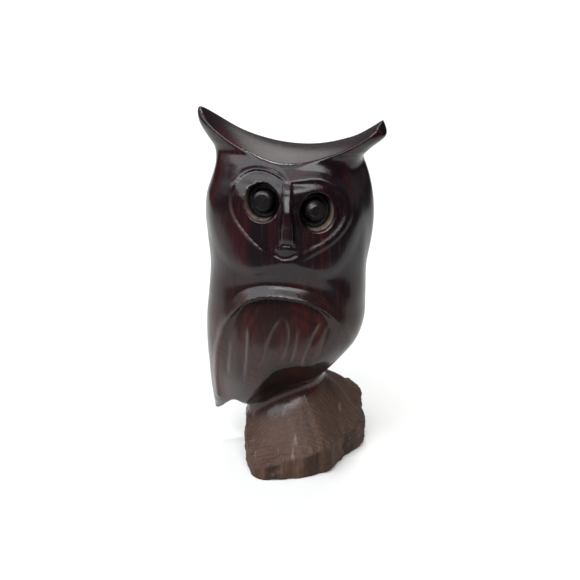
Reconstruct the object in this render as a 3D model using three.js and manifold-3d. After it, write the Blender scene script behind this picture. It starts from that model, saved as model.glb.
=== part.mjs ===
// A carved rosewood owl perched on a rough stump. The owl and its stump are one block of wood, and
// each pupil is a dowel peg glued into a drilled eye socket. Millimetres, +Z up, the face towards -Y.

import * as THREE from 'three';
import Module from 'manifold-3d';
import { LoftGeometry } from 'three/addons/geometries/LoftGeometry.js';
import { mergeVertices } from 'three/addons/utils/BufferGeometryUtils.js';

const wasm = await Module();
wasm.setup();
const { degToRad, lerp } = THREE.MathUtils;

// ---- Driving dimensions ----

// The body and the ears are turned this far about +Z, so the face looks over the owl's own shoulder.
const BODY_YAW = degToRad(-12);

// The carver's blank, from the tail tip up to the ear tips, before anything is cut into it. Each row is
// a level section: height, left, right, front, back, then how full its sides, its front and its back
// are (2 is an ellipse, 1 comes to a point at the left and the right).
const BLANK = [
  [12, -32.6, -29.0, 3.0, 8.0, 2.0, 2.0, 2.0],
  [20, -33.3, -16.0, -5.0, 14.0, 2.0, 2.0, 2.0],
  [30, -34.0, 4.0, -13.5, 18.0, 2.1, 2.0, 2.0],
  [39, -34.2, 14.5, -19.5, 20.0, 2.1, 2.0, 2.0],
  [47, -34.4, 21.5, -23.0, 21.5, 2.2, 2.0, 2.0],
  [54, -34.3, 26.5, -25.0, 22.5, 2.2, 2.1, 2.0],
  [62, -34.1, 29.2, -25.6, 23.0, 2.3, 2.1, 2.0],
  [72, -33.2, 29.6, -25.0, 23.5, 2.3, 2.1, 2.0],
  [84, -32.5, 29.6, -24.2, 23.5, 2.3, 2.1, 2.0],
  [95, -33.2, 30.6, -24.6, 23.2, 2.4, 2.2, 2.0],
  [106, -33.8, 31.6, -25.0, 22.4, 2.4, 2.2, 2.0],
  [115, -32.6, 31.0, -24.0, 20.5, 2.3, 2.1, 2.0],
  [122, -30.6, 29.6, -22.4, 18.0, 2.1, 1.8, 2.0],
  [128, -30.2, 27.4, -20.8, 15.5, 2.0, 1.4, 1.9],
  [134, -33.2, 31.2, -18.0, 13.5, 2.0, 1.1, 1.9],
  [140, -36.2, 37.3, -14.6, 11.0, 2.0, 1.0, 1.8],
  [146.5, -35.6, 34.6, -11.0, 8.5, 2.0, 1.0, 1.8],
];
const SECTION_POINTS = 52;
const SECTION_STEP = 3.7;
// Deeper than the blank's front half, so what is cut or pushed in from the front starts clear of it.
const FRONT_REACH = 60;

// The hollow between the ears is the groove of a spool that lies across the head. From ear to ear its
// arch has one radius, and from front to back its crest rolls over with a larger one.
const SPOOL = { crest: 131.5, crestY: -8, archRadius: 52, rollRadius: 80, halfLength: 42, outside: 140 };
const SPOOL_ARCH_STEPS = 20;
const SPOOL_TURNS = 72;

// The body is cut away below a plane that rises to the owl's left, and rises steeply to the front.
const UNDERSIDE = { level: 27.3, pivotX: -5, sideSlope: 0.45, breakY: -6, frontSlope: 0.98, reach: 60 };

// How far the heart-shaped face is sunk below the blank.
const FACE_DEPTH = 1.5;

// The sockets are drilled this far outwards and upwards from straight ahead.
const EYE = { socketRadius: 7.6, socketDepth: 6.5, splay: degToRad(12), lift: degToRad(8) };
// Left and right are the owl's own.
const RIGHT_EYE = { x: -11.5, z: 115.8, side: -1 };
const LEFT_EYE = { x: 9.2, z: 113.4, side: 1 };
// A peg stands proud of the socket's floor and reaches into a seat below it.
const PEG = { radius: 4, chamfer: 1.3, proud: 4.6, seat: 5, glueGap: 0.2 };
const EYE_FACETS = 48;

// Ellipsoids: centre x and z, how far the centre lies behind the blank's surface, then the radii.
const BEAK_PARTS = [
  { x: -1.7, z: 114.5, sunk: 1.2, radii: [2.2, 3.2, 11.5] },
  { x: -1.9, z: 101.5, sunk: 1.4, radii: [3.9, 3.4, 6.2] },
];

// The breast leans back from its hinge height, and a roll edges the arch above it.
const BREAST = { hinge: 35, lean: degToRad(-3.4), rollRadius: 1.9, rollSunk: 0.9 };
// Hollows between the breast feathers: centre, lean to the side, half width, half length, depth.
const FEATHER_HOLLOWS = [
  { x: -19.5, z: 53, lean: -2, width: 3.6, length: 17, depth: 1.6 },
  { x: -7.5, z: 58, lean: -11, width: 4.4, length: 15, depth: 1.8 },
  { x: 7.0, z: 58, lean: -15, width: 4.4, length: 15, depth: 1.8 },
];

// The stump: a neck under the body, and a slope that flares from it to the rough sawn edge.
// Each edge point is x, y and the height of the edge there.
const STUMP_EDGE = [
  [-12.5, -26.5, 5.0], [-4.0, -25.6, 7.5], [3.0, -24.8, 9.0], [10.0, -22.2, 10.2], [15.5, -17.6, 10.5],
  [19.5, -10.5, 10.5], [25.0, -1.5, 10.5], [30.0, 6.0, 11.0], [29.6, 15.0, 12.5], [28.8, 22.0, 16.0],
  [25.0, 28.5, 19.0], [12.0, 31.5, 20.0], [-5.0, 29.5, 20.0], [-15.0, 22.0, 20.0], [-18.0, 8.5, 19.0],
  [-18.8, -5.0, 14.0], [-18.0, -14.0, 9.5], [-16.0, -22.0, 6.0],
];
const NECK = { x: -3, y: 4, radiusX: 14.3, radiusY: 12, waist: 28.5, waistSlope: 0.45, top: 50 };
// Where the neck is as wide as the stump, it stays inside the sawn edge by the inset.
const FLARE = { power: 1.35, inset: 0.4 };
const STUMP_POINTS = 60;
const FLARE_STEPS = 5;

const ROSEWOOD = new THREE.MeshStandardMaterial({ color: 0x3a1f1a, roughness: 0.28, metalness: 0 });
const EBONY = new THREE.MeshStandardMaterial({ color: 0x17120f, roughness: 0.35, metalness: 0 });

// ---- Solids ----

// A closed geometry as a manifold-3d solid.
function solid(geometry) {
  const bare = new THREE.BufferGeometry().setAttribute('position', geometry.getAttribute('position'));
  bare.setIndex(geometry.getIndex());
  const merged = mergeVertices(bare);
  const vertProperties = merged.getAttribute('position').array;
  const triVerts = new Uint32Array(merged.getIndex().array);
  return new wasm.Manifold(new wasm.Mesh({ numProp: 3, vertProperties, triVerts }));
}

// A manifold-3d solid as a named mesh.
function meshOf(name, manifold, material) {
  const { vertProperties, triVerts } = manifold.getMesh();
  const geometry = new THREE.BufferGeometry();
  geometry.setAttribute('position', new THREE.BufferAttribute(vertProperties, 3));
  geometry.setIndex(new THREE.BufferAttribute(triVerts, 1));
  geometry.computeVertexNormals();
  const mesh = new THREE.Mesh(geometry, material);
  mesh.name = name;
  return mesh;
}

function ellipsoid(radii, position, tilt = 0) {
  const geometry = new THREE.SphereGeometry(1, 24, 18);
  geometry.scale(...radii).rotateY(tilt).translate(...position);
  return solid(geometry);
}

// A front-view outline, x and z, pushed through the front half of the block.
function frontPrism(shape) {
  const options = { depth: FRONT_REACH, bevelEnabled: false, curveSegments: 10 };
  return solid(new THREE.ExtrudeGeometry(shape, options).rotateX(Math.PI / 2));
}

// ---- The blank ----

const heights = BLANK.map(([height]) => height);
const sizes = BLANK.flatMap(([, ...rest]) => rest);
const sectionAt = new THREE.CubicInterpolant(heights, sizes, 7);

// One section as points, counterclockwise seen from above.
function blankSection(z) {
  const [left, right, front, back, sides, frontFullness, backFullness] = sectionAt.evaluate(z);
  const centre = new THREE.Vector2((left + right) / 2, (front + back) / 2);
  const half = new THREE.Vector2((right - left) / 2, (back - front) / 2);
  return Array.from({ length: SECTION_POINTS }, (_, i) => {
    const angle = (2 * Math.PI * i) / SECTION_POINTS;
    const [c, s] = [Math.cos(angle), Math.sin(angle)];
    const x = Math.sign(c) * Math.abs(c) ** (2 / sides);
    const y = Math.sign(s) * Math.abs(s) ** (2 / (s < 0 ? frontFullness : backFullness));
    return new THREE.Vector3(centre.x + half.x * x, centre.y + half.y * y, z);
  });
}

function makeBlank() {
  const [bottom, top] = [heights[0], heights.at(-1)];
  const steps = Math.round((top - bottom) / SECTION_STEP);
  const sections = Array.from({ length: steps + 1 }, (_, i) => blankSection(lerp(bottom, top, i / steps)));
  return solid(new LoftGeometry(sections, { capStart: true, capEnd: true }).rotateZ(BODY_YAW));
}

// Where a line along +Y at x and z first meets the blank.
function frontOfBlank(x, z) {
  const [left, right, front, back, sides, frontFullness] = sectionAt.evaluate(z);
  const turned = new THREE.Vector2();
  const isOutside = (y) => {
    turned.set(x, y).rotateAround(new THREE.Vector2(), -BODY_YAW);
    const across = Math.abs(turned.x - (left + right) / 2) / ((right - left) / 2);
    const along = Math.abs(turned.y - (front + back) / 2) / ((back - front) / 2);
    return across ** sides + along ** frontFullness > 1;
  };
  let [outside, inside] = [-FRONT_REACH, 0];
  while (inside - outside > 0.001) {
    const middle = (outside + inside) / 2;
    if (isOutside(middle)) outside = middle;
    else inside = middle;
  }
  return outside;
}

// ---- What is cut from the blank ----

function spoolCutter() {
  const { crest, crestY, archRadius, rollRadius, halfLength, outside } = SPOOL;
  const arc = Array.from({ length: SPOOL_ARCH_STEPS + 1 }, (_, i) => {
    const x = lerp(halfLength, -halfLength, i / SPOOL_ARCH_STEPS);
    return new THREE.Vector2(rollRadius + archRadius - Math.sqrt(archRadius ** 2 - x ** 2), x);
  });
  const profile = [new THREE.Vector2(outside, -halfLength), new THREE.Vector2(outside, halfLength), ...arc];
  profile.push(profile[0].clone());
  const geometry = new THREE.LatheGeometry(profile, SPOOL_TURNS);
  geometry.rotateZ(-Math.PI / 2).translate(0, crestY, crest - rollRadius);
  return solid(geometry.rotateZ(BODY_YAW));
}

function undersideCutter() {
  const { level, pivotX, sideSlope, breakY, frontSlope, reach } = UNDERSIDE;
  const side = new THREE.Shape([
    new THREE.Vector2(-reach, -reach),
    new THREE.Vector2(reach, -reach),
    new THREE.Vector2(reach, 0),
    new THREE.Vector2(breakY, 0),
    new THREE.Vector2(-reach, frontSlope * (reach + breakY)),
  ]);
  const geometry = new THREE.ExtrudeGeometry(side, { depth: 2 * reach, bevelEnabled: false });
  geometry.translate(0, 0, -reach).rotateY(Math.PI / 2).rotateX(Math.PI / 2);
  return solid(geometry.rotateY(-Math.atan(sideSlope)).translate(pivotX, 0, level));
}

function heartShape() {
  const heart = new THREE.Shape();
  heart.moveTo(-1.5, 126);
  heart.bezierCurveTo(-7, 132.2, -22.9, 134, -22.9, 115.5);
  heart.bezierCurveTo(-22.9, 107.5, -13, 98.5, -1, 92.3);
  heart.bezierCurveTo(8, 95.5, 21.3, 101.5, 21.3, 112.6);
  heart.bezierCurveTo(21.3, 125.5, 8, 127.5, -1.5, 126);
  return heart;
}

// The facial disc is sunk by an even depth, so its floor is the blank moved back.
function faceCutter(blank) {
  return frontPrism(heartShape()).subtract(blank.translate([0, FACE_DEPTH, 0]));
}

function breastShape() {
  const breast = new THREE.Shape();
  breast.moveTo(-30, 18);
  breast.bezierCurveTo(-33, 48, -30, 79, -3, 80);
  breast.bezierCurveTo(14, 80.6, 21, 68, 31, 48);
  breast.lineTo(31, 18);
  breast.closePath();
  return breast;
}

// The breast is sunk under the arch of the wings and comes back to the surface at its hinge.
function breastCutter(blank) {
  const leaned = blank
    .translate([0, 0, -BREAST.hinge])
    .rotate([THREE.MathUtils.radToDeg(BREAST.lean), 0, 0])
    .translate([0, 0, BREAST.hinge]);
  return frontPrism(breastShape()).subtract(leaned);
}

// The breast's surface lies behind the blank's by the lean, and half of the ellipsoid stays outside it.
function featherCutter({ x, z, lean, width, length, depth }) {
  const y = frontOfBlank(x, z) - (z - BREAST.hinge) * Math.tan(BREAST.lean);
  return ellipsoid([width, depth * 2, length], [x, y - depth, z], degToRad(-lean));
}

// ---- What stands proud ----

// The rolled edge of the wings over the breast, as front-view points from wing to wing.
function archRoll() {
  const edge = [[-27.5, 60], [-24, 70.5], [-14.3, 79], [-2.7, 81.5], [7, 80.6], [15, 76], [20, 69], [23, 60]];
  const sunkAt = (i) => BREAST.rollSunk + (i === 0 || i === edge.length - 1 ? BREAST.rollRadius : 0);
  const path = new THREE.CatmullRomCurve3(
    edge.map(([x, z], i) => new THREE.Vector3(x, frontOfBlank(x, z) + sunkAt(i), z)),
  );
  const section = new THREE.Shape().absarc(0, 0, BREAST.rollRadius, 0, 2 * Math.PI);
  const sweep = { steps: 40, curveSegments: 6, bevelEnabled: false, extrudePath: path };
  return solid(new THREE.ExtrudeGeometry(section, sweep));
}

function beakPart({ x, z, sunk, radii }) {
  return ellipsoid(radii, [x, frontOfBlank(x, z) + sunk, z]);
}

// ---- The stump ----

function makeStump() {
  const edge = new THREE.CatmullRomCurve3(STUMP_EDGE.map((p) => new THREE.Vector3(...p)), true);
  const edgePoints = edge.getPoints(STUMP_POINTS).slice(0, STUMP_POINTS);
  // A point on the slope: out is 1 at the edge and 0 at the neck.
  const slopePoint = (p, out) => {
    const toEdge = new THREE.Vector2(p.x - NECK.x, p.y - NECK.y);
    const direction = toEdge.clone().normalize();
    const neckRadius = 1 / Math.hypot(direction.x / NECK.radiusX, direction.y / NECK.radiusY);
    toEdge.setLength(lerp(Math.min(neckRadius, toEdge.length() - FLARE.inset), toEdge.length(), out));
    const waist = NECK.waist + NECK.waistSlope * toEdge.x;
    const height = lerp(p.z, waist, (1 - out) ** FLARE.power);
    return new THREE.Vector3(NECK.x + toEdge.x, NECK.y + toEdge.y, height);
  };
  const ring = (place) => edgePoints.map(place);
  const sections = [ring((p) => new THREE.Vector3(p.x, p.y, 0))];
  for (let i = FLARE_STEPS; i >= 0; i--) sections.push(ring((p) => slopePoint(p, i / FLARE_STEPS)));
  sections.push(ring((p) => slopePoint(p, 0).setZ(NECK.top)));
  return solid(new LoftGeometry(sections, { capStart: true, capEnd: true }));
}

// ---- Eyes ----

// Stands a shape made along +Z in the eye, with z = 0 at the mouth of the socket and +Z outwards.
function placeInEye(geometry, eye) {
  const y = frontOfBlank(eye.x, eye.z) + FACE_DEPTH;
  geometry.rotateX(Math.PI / 2 - EYE.lift).rotateZ(eye.side * EYE.splay);
  return geometry.translate(eye.x, y, eye.z);
}

function drill(eye, radius, from, to) {
  const geometry = new THREE.CylinderGeometry(radius, radius, to - from, EYE_FACETS);
  geometry.rotateX(Math.PI / 2).translate(0, 0, (from + to) / 2);
  return solid(placeInEye(geometry, eye));
}

function eyeDrillings(eye) {
  const { socketRadius, socketDepth } = EYE;
  const socket = drill(eye, socketRadius, -socketDepth, socketDepth);
  const seat = drill(eye, PEG.radius + PEG.glueGap, -socketDepth - PEG.seat - PEG.glueGap, 0);
  return socket.add(seat);
}

function makePeg(name, eye) {
  const { radius, chamfer, proud, seat } = PEG;
  const [foot, head] = [-EYE.socketDepth - seat, proud - EYE.socketDepth];
  const profile = [
    [0, foot],
    [radius, foot],
    [radius, head - chamfer],
    [radius - chamfer, head],
    [0, head],
  ].map(([x, y]) => new THREE.Vector2(x, y));
  const geometry = new THREE.LatheGeometry(profile, EYE_FACETS).rotateX(Math.PI / 2);
  return meshOf(name, solid(placeInEye(geometry, eye)), EBONY);
}

// ---- The figurine ----

function makeCarvedBlock() {
  const blank = makeBlank();
  let owl = blank.subtract(faceCutter(blank)).subtract(breastCutter(blank));
  for (const part of BEAK_PARTS) owl = owl.add(beakPart(part));
  for (const hollow of FEATHER_HOLLOWS) owl = owl.subtract(featherCutter(hollow));
  owl = owl.add(archRoll());
  owl = owl.subtract(spoolCutter()).subtract(undersideCutter());
  owl = owl.add(makeStump());
  for (const eye of [RIGHT_EYE, LEFT_EYE]) owl = owl.subtract(eyeDrillings(eye));
  return meshOf('carved_block', owl, ROSEWOOD);
}

const figurine = new THREE.Group();
figurine.add(makeCarvedBlock(), makePeg('right_eye_peg', RIGHT_EYE), makePeg('left_eye_peg', LEFT_EYE));

// The origin is under the middle of the figurine, at its foot.
const bounds = new THREE.Box3().setFromObject(figurine);
const middle = bounds.getCenter(new THREE.Vector3());
figurine.position.set(-middle.x, -middle.y, -bounds.min.z);

export default figurine;
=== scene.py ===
"""A carved rosewood owl on its rough stump, on a pale floor under soft studio light.

The owl and the stump are one block, so they are one fine mesh: the surface of a field that is worked out
from the carver's blank, the cuts into it and the relief on its front. The pupils are turned pegs.
"""
import math

import bpy
import numpy as np
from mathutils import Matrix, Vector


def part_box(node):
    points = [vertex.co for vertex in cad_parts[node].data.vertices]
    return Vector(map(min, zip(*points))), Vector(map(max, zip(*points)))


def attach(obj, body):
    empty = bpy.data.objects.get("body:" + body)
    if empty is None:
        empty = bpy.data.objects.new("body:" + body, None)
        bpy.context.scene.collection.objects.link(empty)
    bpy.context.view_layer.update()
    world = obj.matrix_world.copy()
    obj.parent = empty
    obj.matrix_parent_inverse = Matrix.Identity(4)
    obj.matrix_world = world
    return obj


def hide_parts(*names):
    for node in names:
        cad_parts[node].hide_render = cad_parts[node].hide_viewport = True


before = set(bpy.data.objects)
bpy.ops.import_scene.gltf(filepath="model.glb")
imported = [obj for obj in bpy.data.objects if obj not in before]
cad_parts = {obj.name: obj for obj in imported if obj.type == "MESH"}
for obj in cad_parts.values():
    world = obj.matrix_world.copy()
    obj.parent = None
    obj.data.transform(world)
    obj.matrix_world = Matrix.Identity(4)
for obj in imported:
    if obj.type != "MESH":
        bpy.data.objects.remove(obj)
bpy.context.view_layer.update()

import openvdb
from mathutils import Matrix, Vector, noise

# ---- The carving's own axes ----
# Millimetres, +Z up, the face towards -Y, z = 0 on the floor. The frame's block has this height and this
# middle in them, and that places the carving in the frame.
BLOCK_HEIGHT = 145.56
BLOCK_MIDDLE = np.array([-0.04, 2.28, BLOCK_HEIGHT / 2])

block_low, block_high = (np.array(corner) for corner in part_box("carved_block"))
METRES = (block_high[2] - block_low[2]) / BLOCK_HEIGHT
FRAME_MIDDLE = (block_low + block_high) / 2


def to_frame(points):
    """Points in the carving's axes, in millimetres, as points in the frame, in metres."""
    return (np.asarray(points, float) - BLOCK_MIDDLE) * METRES + FRAME_MIDDLE


# ---- Shapes of the carving, in millimetres ----

VOXEL = 0.645
BODY_YAW = math.radians(-12)

# The blank's level sections: height, left, right, front, back, then how full the sides, the front and the
# back are (2 is an ellipse, 1 comes to a point at the left and the right).
BLANK = np.array([
    [12, -33.7, -29.0, 3.0, 8.0, 2.0, 2.0, 2.0],
    [20, -34.0, -16.0, -5.0, 14.0, 2.0, 2.0, 2.0],
    [30, -34.3, 4.0, -13.5, 18.0, 2.1, 2.0, 2.0],
    [39, -34.2, 14.5, -19.5, 20.0, 2.1, 2.0, 2.0],
    [47, -34.4, 21.5, -23.0, 21.5, 2.2, 2.0, 2.0],
    [54, -34.3, 26.5, -25.0, 22.5, 2.2, 2.1, 2.0],
    [62, -34.1, 29.2, -25.6, 23.0, 2.3, 2.1, 2.0],
    [72, -33.2, 29.6, -25.2, 23.5, 2.3, 2.1, 2.0],
    [84, -32.5, 29.6, -24.6, 23.5, 2.3, 2.1, 2.0],
    [95, -33.2, 30.4, -25.0, 23.2, 2.4, 2.2, 2.0],
    [106, -33.8, 30.6, -25.0, 22.4, 2.4, 2.2, 2.0],
    [113, -33.0, 29.4, -24.8, 21.0, 2.3, 2.1, 2.0],
    [118, -31.5, 27.9, -24.3, 20.6, 2.2, 2.0, 2.0],
    [121.5, -30.4, 26.8, -22.7, 19.8, 2.2, 2.0, 2.0],
    [124.5, -30.0, 26.4, -19.1, 18.9, 2.2, 2.0, 2.0],
    [127.5, -30.3, 26.9, -15.0, 17.2, 2.3, 2.0, 2.0],
    [130.5, -31.2, 28.2, -12.0, 14.6, 2.5, 2.0, 2.0],
    [134, -33.4, 31.2, -11.6, 12.2, 2.7, 2.0, 2.0],
    [140, -36.6, 37.3, -12.6, 11.0, 2.8, 2.0, 2.0],
    [146.5, -37.4, 36.8, -12.0, 10.0, 2.6, 2.0, 2.0],
])
# The skull rounds the head's sides and front out of the blank, and stays inside it at the back.
SKULL = {"centre": (1.5, 3.0, 106.0), "radii": (30.4, 17.0, 42.0), "back_radius": 12.0, "blend": 2.2}
# Over the ears the sections turn a little more than the body does.
EAR_SKEW = {"amount": 0.08, "shift": 2.0, "start": 122.0, "end": 134.0}
SADDLE = {"crest": 130.3, "crest_y": 0.0, "arch": 50.0, "half_width": 48.0, "roll": 70.0, "rounding": 0.8,
          "tip_rounding": 2.6}
# The carver's last cut takes the tip off the owl's left ear.
EAR_CUT = {"point": (35.0, -12.0, 142.2), "normal": (0.80, -0.36, 0.48), "rounding": 0.5}
UNDERSIDE = {"level": 27.3, "pivot_x": -5.0, "side_slope": 0.45, "break_y": -6.0}
# The steepness of the cut to the lip, at places from left to right.
LIP_SLOPE = {"x": (-18, -7, 7, 15), "slope": (1.05, 1.15, 0.93, 1.0)}
# Between the stump and the wing tip the underside is hollowed.
WING_HOLLOW = {"x": -24.4, "reach": 7.5, "rise": 5.6}
UNDERSIDE_ROUNDING = {"hollow": 5.0, "lip": 0.4}

EYES = {
    "right": {"x": -11.8, "z": 115.8, "side": -1, "flat": 3.1, "crown": 0.5},
    "left": {"x": 9.5, "z": 112.7, "side": 1, "flat": 2.1, "crown": 0.3},
}
FACE_DEPTH = 1.5
SOCKET = {"across": 6.9, "tall": 7.6, "depth": 6.5, "taper": 0.17,
          "splay": math.radians(12), "lift": math.radians(8)}
SOCKET_BEVEL = {"width": 0.4, "depth": 0.8, "rounding": 0.3}
PEG = {"radius": 4.0, "proud": 4.6, "seat": 5.0, "glue_gap": 0.2, "foot_bevel": 0.3, "bevel_slope": 0.85,
       "rounding": 0.25, "crowning": 0.35}

# Front-view outlines and lines, as x and z.
HEAD = [(-36, 128), (-33, 114), (-30.2, 102), (-26.5, 94.5), (-22.7, 90.6), (-16.1, 88.9), (-9.6, 90.4),
        (-3.1, 92.2), (0.7, 92), (4.9, 90.6), (10.6, 89.1), (16.4, 90.1), (20.8, 96), (24.6, 104),
        (27, 113), (27, 125), (40, 150), (-40, 150)]
HEART = [(-1.6, 123.8), (-3.6, 124.4), (-6.4, 125.6), (-10.2, 126.5), (-14.5, 126.4), (-18.4, 124.8),
         (-21.2, 122.2), (-23, 118.8), (-23.6, 115), (-23, 111.2), (-21.4, 107.6), (-18.6, 104),
         (-14.7, 99.8), (-10.5, 96.3), (-6, 93.8), (-1.5, 92.6), (2.6, 94.4), (7.4, 97.8), (11.2, 99.9),
         (14.7, 102.2), (18, 105.2), (20.6, 109), (21.4, 112.8), (20.7, 116.6), (18.5, 120), (15.4, 122.7),
         (11.6, 124.2), (8, 124.7), (3.5, 124.4)]
BROW_LINE = [(-1.6, 123.7), (-4.2, 126.1), (-7.2, 127.2), (-10.6, 127.8), (-14.9, 127.6), (-18.8, 126.2),
             (-21.9, 123.5)]
# A painted highlight runs along this edge of the heart.
HEART_HIGHLIGHT_EDGE = [(-22.6, 120), (-23.4, 115), (-22.7, 110.5), (-20.8, 106.8), (-18, 103.2), (-14.4, 99.5),
              (-10.4, 96.2)]
MUZZLE = [(-4.2, 108.5), (-5.2, 104.5), (-6.3, 101.2), (-6.4, 98.4), (-4.9, 97.1), (-2.1, 96.8), (0.5, 97.4),
          (1.7, 99.6), (1.4, 103.8), (0.3, 108)]
MOUTH = [(-4.9, 99), (-3.9, 99.9), (-2.1, 100.2), (-0.2, 99.7), (0.6, 98.9)]
CHIN_CREASE = [(-6.3, 96.2), (-4, 94.9), (-1.4, 95), (1.2, 96.3)]
BEAK_CORNERS = [[(-4.7, 116), (-5.2, 111.5), (-5.5, 106)], [(0.7, 115), (1.3, 110.5), (1.7, 105)]]
BREAST = [(-29.5, 14), (-30.6, 25), (-31, 38), (-30.2, 50), (-28, 60.7), (-25, 67.2), (-21, 72.3),
          (-17.4, 75.2), (-11.6, 77.4), (-6.6, 78), (-0.8, 77.8), (5, 76.6), (10, 74.3), (14, 71.2),
          (17.8, 66.8), (21.5, 60.5), (27, 50), (40, 40), (40, 14)]
ARCH = [(-28.4, 59.5), (-25, 67.6), (-21, 72.9), (-17.2, 76), (-11.6, 78.2), (-6.6, 78.8), (-0.8, 78.6),
        (5, 77.4), (10, 75.1), (14, 72), (17.8, 67.6), (21.5, 61.2), (24, 55)]
WING_EDGE = [(-17.4, 75.4), (-21, 72.2), (-25, 67.2), (-28, 60.7), (-30.2, 50), (-31, 38), (-30.6, 25)]

# Cuts between the breast feathers: the line, then depth, width on the left and width on the right.
FEATHER_CUTS = [
    ([(-17.3, 66), (-17.9, 55.5), (-18.5, 47.7), (-19.6, 38)], 0.6, 4.0, 0.7),
    ([(-3.6, 70.6), (-6.4, 66), (-8.9, 60.5), (-10.9, 54), (-13.4, 45)], 0.6, 0.8, 3.4),
    ([(-2.9, 70.6), (-1.4, 64), (-2.3, 57), (-4.9, 50)], 0.5, 2.8, 0.7),
    ([(12, 69), (7.9, 61.5), (5.3, 54.5), (3.4, 46)], 0.8, 0.8, 3.4),
    ([(14.4, 66.5), (11.9, 58), (9.2, 50.5)], 0.55, 2.6, 0.7),
    ([(2.6, 67), (1.2, 57), (-0.8, 50)], 0.25, 2.0, 0.8),
    ([(-24.2, 58), (-25.2, 48), (-25.8, 38)], 0.3, 2.4, 0.8),
]

# How far each part of the relief is sunk or raised. The breast is deepest right under the arch.
RELIEF = {
    "chin_hollow": 1.3, "face": 0.8, "face_on_left": 0.05, "face_roll": 0.38, "brow_groove": 0.35,
    "eye_hollow": 1.1, "bridge": 0.8, "hump": 2.6, "muzzle": 0.9, "mouth": 0.8, "chin_crease": 0.6,
    "beside_beak": 0.8, "arch": 1.5, "over_arch": 1.3, "breast": 0.7, "breast_at_arch": 1.5,
    "breast_swell": 0.9, "wing_edge": 0.45,
}

# The stump: x, y and height of points along its sawn edge, and the neck that it flares from.
STUMP_EDGE = np.array([
    [-12.5, -26.5, 5.0], [-4.0, -25.6, 7.5], [3.0, -24.8, 9.0], [10.0, -22.2, 10.2],
    [15.5, -17.6, 10.5], [19.5, -10.5, 10.5], [25.0, -1.5, 10.5], [30.0, 6.0, 11.0],
    [29.6, 15.0, 12.5], [28.8, 22.0, 16.0], [25.0, 28.5, 19.0], [12.0, 31.5, 20.0],
    [-5.0, 29.5, 20.0], [-15.0, 22.0, 20.0], [-18.0, 8.5, 19.0], [-18.8, -5.0, 14.0],
    [-18.0, -14.0, 9.5], [-16.0, -22.0, 6.0],
])
NECK = {"x": -3.0, "y": 4.0, "radius_x": 14.3, "radius_y": 12.0, "waist": 28.5, "waist_slope": 0.45}
FLARE = {"power": 1.18, "inset": 0.4, "fillet": 3.2, "rounding": 0.5, "top": 48.0}
RAW_WOOD = {"chips": 0.9, "chip_scale": 0.28, "dents": 0.4, "dent_scale": 0.09}
# The sawn outline wanders: waves round the stump, and the size of each.
SAWN_WAVES = ((9, 0.25), (17, 0.22), (29, 0.18))


# ---- Numbers ----

def ramp(value, start, end):
    """0 before start and 1 after end, with a smooth rise between them."""
    t = np.clip((value - start) / (end - start), 0, 1)
    return t * t * (3 - 2 * t)


def bell(distance, reach):
    """1 on the line, falling smoothly to 0 at the reach."""
    return 1 - ramp(np.abs(distance), 0, reach)


def smooth_max(a, b, rounding):
    """The larger of two fields, with the edge between them rounded."""
    share = np.clip(0.5 + 0.5 * (a - b) / rounding, 0, 1)
    return b + (a - b) * share + rounding * share * (1 - share)


def smooth_min(a, b, rounding):
    return -smooth_max(-a, -b, rounding)


def hermite(keys, rows, at):
    """Rows of numbers at the keys, interpolated smoothly at other places."""
    slopes = np.gradient(rows, keys, axis=0)
    i = np.clip(np.searchsorted(keys, at, side="right") - 1, 0, len(keys) - 2)
    span = (keys[i + 1] - keys[i])[:, None]
    t = ((at - keys[i]) / (keys[i + 1] - keys[i]))[:, None]
    start = (1 + 2 * t) * (1 - t) ** 2 * rows[i] + t * (1 - t) ** 2 * span * slopes[i]
    return start + t**2 * (3 - 2 * t) * rows[i + 1] + t**2 * (t - 1) * span * slopes[i + 1]


def smooth_line(points, closed=False, steps=8):
    """Points along a smooth line through the given points."""
    p = np.array(points, float)
    p = np.vstack([p[-1:], p, p[:2]]) if closed else np.vstack([2 * p[0] - p[1], p, 2 * p[-1] - p[-2]])
    t = np.arange(steps)[:, None] / steps
    spans = []
    for a, b, c, d in zip(p, p[1:], p[2:], p[3:]):
        bend = 2 * a - 5 * b + 4 * c - d
        spans.append(b + 0.5 * t * (c - a + t * (bend + t * (3 * (b - c) + d - a))))
    return np.vstack(spans + [p[-2:-1]])


# ---- The relief on the front ----

MAP_STEP = 0.2
map_x = np.arange(-41, 41 + MAP_STEP, MAP_STEP)
map_z = np.arange(8, 152 + MAP_STEP, MAP_STEP)
X, Z = np.meshgrid(map_x, map_z, indexing="ij")


def nearest(points, closed=False):
    """For each place on the front: how far the line is, on which side (1 is its left), and how far along."""
    line = smooth_line(points, closed)
    distance = np.full(X.shape, np.inf)
    side = np.zeros(X.shape)
    along = np.zeros(X.shape)
    for i, (a, b) in enumerate(zip(line, line[1:])):
        run = b - a
        t = np.clip(((X - a[0]) * run[0] + (Z - a[1]) * run[1]) / max(run @ run, 1e-9), 0, 1)
        dx, dz = X - a[0] - t * run[0], Z - a[1] - t * run[1]
        d = np.hypot(dx, dz)
        closer = d < distance
        distance[closer] = d[closer]
        side[closer] = np.sign(run[0] * dz - run[1] * dx)[closer]
        along[closer] = ((i + t) / (len(line) - 1))[closer]
    return distance, side, along


def inside_depth(points):
    """How far each place on the front lies inside a closed outline; it is negative outside."""
    line = smooth_line(points, closed=True)
    inside = np.zeros(X.shape, bool)
    for a, b in zip(line, line[1:]):
        if a[1] != b[1]:
            crossing = a[0] + (Z - a[1]) * (b[0] - a[0]) / (b[1] - a[1])
            inside ^= ((a[1] > Z) != (b[1] > Z)) & (X < crossing)
    distance = nearest(points, closed=True)[0]
    return np.where(inside, distance, -distance)


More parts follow.
